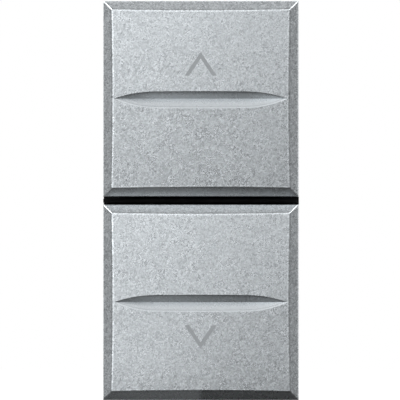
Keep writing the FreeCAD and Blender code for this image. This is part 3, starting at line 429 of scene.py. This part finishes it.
def key_paint():
    """Silver paint with fine metal flakes, and painted highlight and painted shade lines along the ridges
    and the finger slots' rims.
    """
    material = new_material("silver_paint", PAINT_METALLIC, 0.28)
    shader = shader_of(material)
    places = key_places(material)
    grain = paint_grain(material, places)
    cells = add_node(material, "TexVoronoi", Scale=1 / FLAKE)
    wire_up(material, own_point(material), cells.inputs["Vector"])
    flakes = cells.outputs["Color"]
    silver = flake_colour(material, flakes, grain)
    # the silver with its painted highlight and painted shade lines
    painted = scale_vector(material, silver, painted_highlight_and_shade(material, places))
    wire_up(material, painted, shader.inputs["Base Color"])
    wire_up(material, flake_facing(material, flakes, grain), shader.inputs["Normal"])
    roughness_by(material, noise(material, PAINT_CLOUD), *PAINT_ROUGHNESS)
    return material


def arrow_print():
    material = new_material("arrow_print", 0.0, 0.6)
    colour_by(material, noise(material, 0.25 * MM, 4), *PRINT_COLOURS)
    roughness_by(material, noise(material, 0.15 * MM), *PRINT_ROUGHNESS)
    return material


def moulded_plastic(name, colours, roughness, texture, gloss):
    """Plastic with the fine eroded texture of its mould and slight clouds of colour."""
    material = new_material(name, 0.0, roughness, gloss)
    texture_size, texture_depth = texture
    colour_by(material, noise(material, PLASTIC_CLOUD, 5), *colours)
    roughness_by(material, noise(material, PLASTIC_SHEEN), roughness - 0.08, roughness + 0.08)
    relief(material, noise(material, texture_size * MM, 4), texture_depth * MM)
    return material


def drawn_metal(name, colours, roughness, stretch, line_size):
    """Metal with the fine lines of its drawing or rolling along one axis and faint tarnish."""
    material = new_material(name, 1.0, roughness)
    lines = noise(material, line_size * MM, 4, stretch)
    tarnish = noise(material, METAL_TARNISH, 4)
    line_part = calculate(material, "MULTIPLY", lines, LINE_SHARE)
    tarnish_part = calculate(material, "MULTIPLY", tarnish, TARNISH_SHARE)
    share = calculate(material, "ADD", line_part, tarnish_part)
    colour_by(material, spread(material, share, 0.35, 0.65, 0, 1), *colours)
    roughness_by(material, lines, roughness - 0.08, roughness + 0.1)
    relief(material, lines, METAL_LINE_DEPTH)
    return material


MATERIALS = {"key_paint": key_paint(), "arrow_print": arrow_print()}
MATERIALS |= {name: moulded_plastic(name, **look) for name, look in PLASTICS.items()}
MATERIALS |= {name: drawn_metal(name, **look) for name, look in METALS.items()}


def dress_nodes():
    for part in frame["record"]["subparts"]:
        node = frame["nodes"][part["node"]]
        for slot in node.material_slots:
            slot.material = MATERIALS[part["material_slot"]]


def put_in_scene(name, data):
    thing = bpy.data.objects.new(name, data)
    bpy.context.scene.collection.objects.link(thing)
    return thing


def put_mesh(name, points, faces):
    mesh = bpy.data.meshes.new(name)
    mesh.from_pydata(points, [], faces)
    return put_in_scene(name, mesh)


def helix_height(turn, turns, wire_size, length):
    """How far along its axis a spring's wire is after so many turns. Its end turns lie closed."""
    lead = wire_size * CLOSED_LEAD
    open_pitch = (length - 2 * CLOSED_TURNS * lead) / (turns - 2 * CLOSED_TURNS)
    if turn < CLOSED_TURNS:
        return turn * lead
    if turn > turns - CLOSED_TURNS:
        return length - (turns - turn) * lead
    return CLOSED_TURNS * lead + (turn - CLOSED_TURNS) * open_pitch


def wire_points(height, spring):
    """Rings of points along a spring's wire. On the outer side, where the lever tilts towards it, the
    first turn stands further back."""
    first_angle = math.pi if height > 0 else 0.0
    length = spring["end"] - spring["start"]
    points = []
    for index in range(int(spring["turns"] * STEPS_PER_TURN) + 1):
        turn = index / STEPS_PER_TURN
        angle = 2 * math.pi * turn + first_angle
        outward = Vector((math.cos(angle), 0, math.sin(angle)))
        along = spring["start"] + helix_height(turn, spring["turns"], spring["wire"], length)
        centre = outward * spring["radius"] + Vector((0, along, height))
        for side in range(WIRE_SIDES):
            bend = 2 * math.pi * side / WIRE_SIDES
            offset = outward * math.cos(bend) + Vector((0, 1, 0)) * math.sin(bend)
            points.append((centre + offset * spring["wire"] / 2) * MM)
    return points


def wire_faces(count):
    """The faces of a wire that has so many steps, with both its ends closed."""
    faces = []
    for index in range(count):
        for side in range(WIRE_SIDES):
            near, far = index * WIRE_SIDES, (index + 1) * WIRE_SIDES
            after = (side + 1) % WIRE_SIDES
            faces.append((near + side, near + after, far + after, far + side))
    faces.append(tuple(range(WIRE_SIDES))[::-1])
    faces.append(tuple(count * WIRE_SIDES + side for side in range(WIRE_SIDES)))
    return faces


def make_spring(name, node, side, spring):
    """A wound wire spring along Y, in place of its CAD node."""
    points = wire_points(side * spring["height"], spring)
    faces = wire_faces(int(spring["turns"] * STEPS_PER_TURN))
    piece = put_mesh(name, points, faces)
    piece.data.validate()
    piece.data.shade_smooth()
    piece.data.materials.append(MATERIALS["spring_steel"])
    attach(piece, "housing")
    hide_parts(node)
    return piece


def make_springs():
    for half, side in (("upper", 1), ("lower", -1)):
        spring = make_spring(f"{half}_return_coil", f"{half}_return_spring", side, RETURN_SPRING)
        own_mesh(spring)
        spring = make_spring(f"{half}_lever_coil", f"{half}_lever_spring", side, LEVER_SPRING)
        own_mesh(spring)


def look_at(thing, place, target):
    thing.location = place
    thing.rotation_euler = (target - place).to_track_quat("-Z", "Y").to_euler()


def make_camera():
    camera = bpy.data.cameras.new("camera")
    camera.sensor_width = SENSOR_WIDTH
    camera.lens = SENSOR_WIDTH * CAMERA_DISTANCE / VIEW_WIDTH
    camera.clip_start = NEAREST_SEEN
    camera.clip_end = FARTHEST_SEEN
    eye = put_in_scene("camera", camera)
    flat = math.cos(CAMERA_ELEVATION)
    direction = Vector((
        flat * math.sin(CAMERA_AZIMUTH),
        -flat * math.cos(CAMERA_AZIMUTH),
        math.sin(CAMERA_ELEVATION),
    ))
    look_at(eye, CAMERA_AIM + direction * CAMERA_DISTANCE, CAMERA_AIM)
    bpy.context.scene.camera = eye


def background_ray(owner):
    """One for rays that should meet the white background, nought for those that only carry light."""
    paths = add_node(owner, "LightPath")
    seen = calculate(owner, "MAXIMUM", paths.outputs["Is Camera Ray"], paths.outputs["Is Glossy Ray"])
    return calculate(owner, "MAXIMUM", seen, paths.outputs["Is Transmission Ray"])


def make_world():
    world = bpy.data.worlds.new("studio")
    world.use_nodes = True
    bpy.context.scene.world = world
    background = world.node_tree.nodes["Background"]
    background.inputs["Color"].default_value = WHITE
    strength = spread(world, background_ray(world), 0, 1, WORLD_LIGHT, 1)
    wire_up(world, strength, background.inputs["Strength"])


def stage_material(name):
    """A material with no shader yet, and the input that takes its surface."""
    material = bpy.data.materials.new(name)
    material.use_nodes = True
    tree = material.node_tree
    tree.nodes.remove(tree.nodes["Principled BSDF"])
    return material, tree.nodes["Material Output"].inputs["Surface"]


def floor_material():
    """Matt grey that takes the shadow, with a glow that whitens it where it is seen."""
    material, surface = stage_material("floor")
    matt = add_node(material, "BsdfDiffuse", Color=FLOOR_GREY)
    glow = add_node(material, "Emission", Color=WHITE)
    strength = calculate(material, "MULTIPLY", background_ray(material), FLOOR_GLOW)
    wire_up(material, strength, glow.inputs["Strength"])
    both = add_node(material, "AddShader")
    wire_up(material, matt.outputs[0], both.inputs[0])
    wire_up(material, glow.outputs[0], both.inputs[1])
    wire_up(material, both.outputs[0], surface)
    return material


def make_floor():
    low = cad_box[0][2] - FLOOR_BELOW
    sides = ((-1, -1), (1, -1), (1, 1), (-1, 1))
    corners = [(across * FLOOR_REACH, back * FLOOR_REACH, low) for across, back in sides]
    floor = put_mesh("floor", corners, [(0, 1, 2, 3)])
    floor.data.materials.append(floor_material())


def tent_mesh():
    """A quarter of a sphere in front of the switch, closed by a half disc just above the floor."""
    low = cad_box[0][2] - TENT_BELOW
    points, faces = [], []
    for ring in range(TENT_RINGS + 1):
        rise = math.pi / 2 * ring / TENT_RINGS
        flat = TENT_RADIUS * math.cos(rise)
        up = low + TENT_RADIUS * math.sin(rise)
        for part in range(TENT_PARTS + 1):
            turn = math.pi * part / TENT_PARTS
            points.append((flat * math.cos(turn), TENT_BACK - flat * math.sin(turn), up))
    across = TENT_PARTS + 1
    for ring in range(TENT_RINGS):
        for part in range(TENT_PARTS):
            near, far = ring * across + part, (ring + 1) * across + part
            faces.append((near, near + 1, far + 1, far))
    faces.append(tuple(range(across)))
    return points, faces


def make_tent():
    """A light tent that only reflections show."""
    tent = put_mesh("light_tent", *tent_mesh())
    tent.visible_camera = False
    tent.visible_diffuse = False
    tent.visible_transmission = False
    tent.visible_shadow = False
    tent.data.materials.append(tent_glow())


def tent_angles(material):
    """How far to the right and how high a point of the tent is seen from the switch, in degrees."""
    unit = add_node(material, "VectorMath", operation="NORMALIZE")
    wire_up(material, add_node(material, "NewGeometry").outputs["Position"], unit.inputs[0])
    axes = add_node(material, "SeparateXYZ")
    wire_up(material, unit.outputs[0], axes.inputs[0])
    across, back, up = (axes.outputs[axis] for axis in "XYZ")
    ahead = calculate(material, "MULTIPLY", back, -1.0)
    turn = calculate(material, "DEGREES", calculate(material, "ARCTAN2", across, ahead))
    rise = calculate(material, "DEGREES", calculate(material, "ARCSINE", up))
    return turn, rise


def tent_glow():
    """Brightness by direction: bright in front above, more so to the left, dimmer at the sides and
    overhead, and dark below but for a pale strip on the table."""
    material, surface = stage_material("tent_glow")
    turn, rise = tent_angles(material)
    table = spread(material, rise, *TABLE_LIGHT)
    below = all_of(material, table, spread(material, rise, *TABLE_FAR_END))
    above = spread(material, rise, *HORIZON)
    sideways = calculate(material, "SUBTRACT", spread(material, turn, *LEFT_TO_RIGHT), 1.0)
    low_down = spread(material, rise, *LEFT_TO_RIGHT_FADES)
    brightness = all_of(
        material,
        calculate(material, "ADD", below, above),
        spread(material, rise, *UPWARDS),
        spread(material, rise, *OVERHEAD),
        spread(material, turn, *FAR_LEFT),
        calculate(material, "ADD", all_of(material, sideways, low_down), 1.0),
        spread(material, turn, *FAR_RIGHT),
    )
    glow = add_node(material, "Emission", Color=TENT_COLOUR)
    wire_up(material, brightness, glow.inputs["Strength"])
    wire_up(material, glow.outputs[0], surface)
    return material


def make_lamps():
    for name, (place, energy) in LAMPS.items():
        lamp = bpy.data.lights.new(name, "AREA")
        lamp.shape = "DISK"
        lamp.size = LAMP_SIZE
        lamp.energy = energy
        look_at(put_in_scene(name, lamp), Vector(place), Vector((0, 0, 0)))


dress_nodes()
make_springs()
make_camera()
make_world()
make_floor()
make_tent()
make_lamps()
bpy.context.scene.view_settings.view_transform = "Standard"
